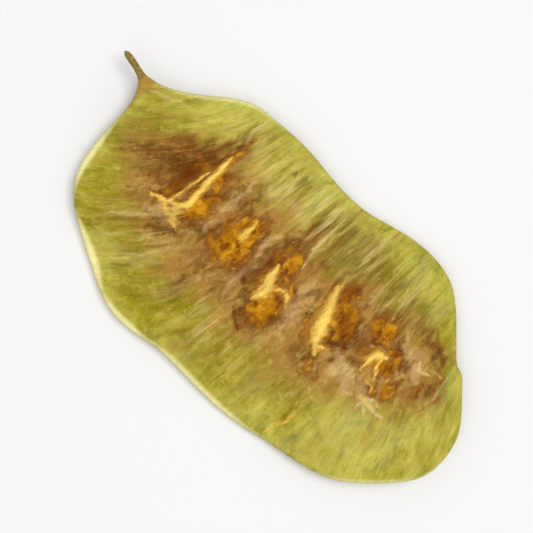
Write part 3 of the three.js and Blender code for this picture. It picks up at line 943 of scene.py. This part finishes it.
def raise_relief(mesh, sheet, settings):
    """Moves the skin for the crests, the cross fibres and the dried creases. Gives back the creases."""
    straw = 0.45 * drawn(sheet.fine, tapered(STRAW_LINES), sharpness=1.6)
    swollen = 0.8 * drawn(sheet.fine, tapered(SWOLLEN_LINES), sharpness=2.4)
    crests = np.maximum(drawn(sheet.fine, CREST_LINES, sharpness=1.3) + straw, swollen)
    under_crests = 0.5 * drawn(sheet.fine, seed_crests(), sharpness=1.3)
    clefts = drawn(sheet.fine, tapered(DARK_LINES), sharpness=1.8)
    ribs = waves(sheet.fibres, *RIB_NOISE)
    folds = waves(sheet.fibres, *FOLD_NOISE, octaves=4)
    creased = creases(sheet.swirled, *CREASE_NOISE)
    # The green sheet is mostly ribbed, and the brown band mostly creased
    band = banded(sheet.spots, soft=3.0)
    wrinkles = 0.9 * folds + (1.1 - 0.6 * band) * ribs + (0.15 + 0.75 * band) * creased
    relief = settings.wrinkle_height * wrinkles - settings.cleft_depth * clefts
    relief += settings.crest_height * np.where(sheet.upper, crests, under_crests)
    relief *= smoothstep(sheet.edge, *RELIEF_FADE)
    places = read(mesh, "co")
    places[:, 2] += np.where(sheet.upper, relief, -relief)
    places[:, 2] = np.clip(places[:, 2], 0, HIGHEST * CAD_BOX[1][2])
    move(mesh, places)
    return creased


def stain_skin(mesh, sheet, creased):
    """Stores the masks of the stains, crests, fibres and rim on the mesh."""
    fine, ragged, loose, edge = sheet.fine, sheet.ragged, sheet.loose, sheet.edge
    along = sheet.spots[:, 0]
    inside = smoothstep(edge, *STAIN_FADE)
    well_inside = smoothstep(edge, *STRAND_FADE)
    dark = np.maximum(stained(ragged, RUST_STAINS), drawn(fine, tapered(DARK_LINES)))
    # Painted shadow: each crest line moved a little to one side and laid on in the darkest red
    crest_shadow = 0.85 * drawn(fine + np.array(CREST_SHADOW_SHIFT), CREST_LINES)
    crest = drawn(fine, widened(CREST_LINES, CREST_SPREAD), sharpness=1.7)
    under_crest = 0.8 * drawn(fine, seed_crests(), sharpness=1.6)
    glow = drawn(fine, widened(CREST_LINES, GLOW_SPREAD), sharpness=1.5)
    pale_edge = 0.55 * np.exp(-((edge / PALE_WIDTH) ** 2))
    # The rim's cream is broadest on the lower left, where it is painted highlight
    cream = stained(sheet.spots, CREAM_RIM_FIELDS, sharpness=2.5)
    rim = np.exp(-((edge / (RIM_WIDTH + CREAM_WIDTH * cream)) ** 3))
    fields = {
        # The creases' heights, which the skin also uses to paint shade into the band
        "crease": creased,
        "band": banded(loose, soft=4.0) * inside,
        "umber": stained(loose, UMBER_STAINS) * inside,
        "mauve": drawn(loose, tapered(MAUVE_LINES)) * inside,
        "orange": stained(ragged, ORANGE_STAINS, sharpness=1.8) * inside,
        # Dark red stains and clefts, with the painted shadow beside the crests
        "rust_and_shade": np.maximum(dark, crest_shadow) * inside,
        "glow": glow * np.where(sheet.upper, 1.0, 0.6),
        "crest": np.where(sheet.upper, crest, under_crest),
        "straw": drawn(fine, tapered(STRAW_LINES)) * np.where(sheet.upper, 1.0, 0.4),
        "bright": drawn(fine, loose_fibres(*BRIGHT_FIBRES)) * well_inside,
        "dull": drawn(fine, loose_fibres(*DULL_FIBRES)) * well_inside,
        "pale": np.maximum(stained(loose, PALE_FIELDS), pale_edge),
        "drab": stained(loose, DRAB_FIELDS),
        "streaky": stained(loose, STREAKY_FIELDS) * inside,
        "seam": np.exp(-((edge / SEAM_WIDTH) ** 2)),
        "joint": 1 - smoothstep(along, *JOINT_FADE),
        "stem": 1 - smoothstep(along, *STEM_FADE),
        "rim": rim * (0.35 + 0.65 * cream),
    }
    for name, values in fields.items():
        store(mesh, name, values)
    flow = mesh.attributes.new("flow", "FLOAT_VECTOR", "POINT")
    places = np.column_stack([sheet.fibres, read(mesh, "co")[:, 2] / MM])
    flow.data.foreach_set("vector", places.astype(np.float32).ravel())


class OBJECT_OT_senna_pod(bpy.types.Operator):
    """Dress the pod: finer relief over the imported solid, then its stained skin"""

    bl_idname = "object.senna_pod"
    bl_label = "Senna pod"

    def execute(self, context):
        settings = context.scene.senna_pod
        pod, outline = finer_copy(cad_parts["senna_pod"], "pod", settings.levels)
        mesh = pod.data
        slim_stalk(mesh)
        sheet = Sheet(mesh, outline)
        creased = raise_relief(mesh, sheet, settings)
        stain_skin(mesh, sheet, creased)
        mesh.materials.append(pod_skin(settings))
        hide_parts("senna_pod")
        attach(pod, "root")
        return {"FINISHED"}


class OBJECT_OT_senna_stage(bpy.types.Operator):
    """Set the floor, the soft light and the camera"""

    bl_idname = "object.senna_stage"
    bl_label = "Stage"

    def execute(self, context):
        settings = context.scene.senna_stage
        bpy.ops.object.select_all(action="DESELECT")
        bpy.ops.mesh.primitive_plane_add(size=FLOOR_SIDE, location=(0, 0, -FLOOR_DROP))
        floor = context.object
        floor.name = "floor"
        floor.data.materials.append(plain_floor(settings))

        turn = settings.view_turn
        right = Vector((math.cos(turn), math.sin(turn), 0))
        up = Vector((-math.sin(turn), math.cos(turn), 0))
        for name, (across, along, above), side, share in LIGHTS:
            direction = right * across + up * along + Vector((0, 0, above))
            self.soft_light(name, direction, side, share * settings.key_power)

        world = bpy.data.worlds.new("soft_room")
        world.use_nodes = True
        background = world.node_tree.nodes["Background"]
        background.inputs["Color"].default_value = ROOM_COLOUR
        background.inputs["Strength"].default_value = settings.fill
        context.scene.world = world

        distance = settings.view_height * settings.lens / FILM_WIDTH
        bpy.ops.object.camera_add(location=AIM + Vector((0, 0, distance)), rotation=(0, 0, turn))
        camera = context.object
        camera.data.lens = settings.lens
        camera.data.sensor_width = FILM_WIDTH
        camera.data.clip_start = 0.01
        context.scene.camera = camera
        context.scene.view_settings.view_transform = "Standard"
        return {"FINISHED"}

    def soft_light(self, name, direction, side, power):
        """A square light off in a direction from the aim, turned to it."""
        place = AIM + direction.normalized() * LIGHT_DISTANCE
        turn = (AIM - place).to_track_quat("-Z", "Y").to_euler()
        bpy.ops.object.light_add(type="AREA", location=place, rotation=turn)
        light = bpy.context.object
        light.name = name
        light.data.shape = "SQUARE"
        light.data.size = side
        light.data.energy = power


class VIEW3D_PT_senna_pod(bpy.types.Panel):
    """Settings and buttons in the 3D view's sidebar"""

    bl_label = "Senna Pod"
    bl_space_type = "VIEW_3D"
    bl_region_type = "UI"
    bl_category = "Senna Pod"

    def draw(self, context):
        for settings, operator in (
            (context.scene.senna_pod, OBJECT_OT_senna_pod),
            (context.scene.senna_stage, OBJECT_OT_senna_stage),
        ):
            box = self.layout.box()
            for name in settings.__annotations__:
                box.prop(settings, name)
            box.operator(operator.bl_idname)


CLASSES = (
    SennaPodSettings,
    SennaStageSettings,
    OBJECT_OT_senna_pod,
    OBJECT_OT_senna_stage,
    VIEW3D_PT_senna_pod,
)


def register():
    for item in CLASSES:
        bpy.utils.register_class(item)
    bpy.types.Scene.senna_pod = bpy.props.PointerProperty(type=SennaPodSettings)
    bpy.types.Scene.senna_stage = bpy.props.PointerProperty(type=SennaStageSettings)


def unregister():
    del bpy.types.Scene.senna_stage
    del bpy.types.Scene.senna_pod
    for item in reversed(CLASSES):
        bpy.utils.unregister_class(item)


def main():
    register()
    bpy.ops.object.senna_pod()
    bpy.ops.object.senna_stage()


if __name__ == "__main__":
    main()
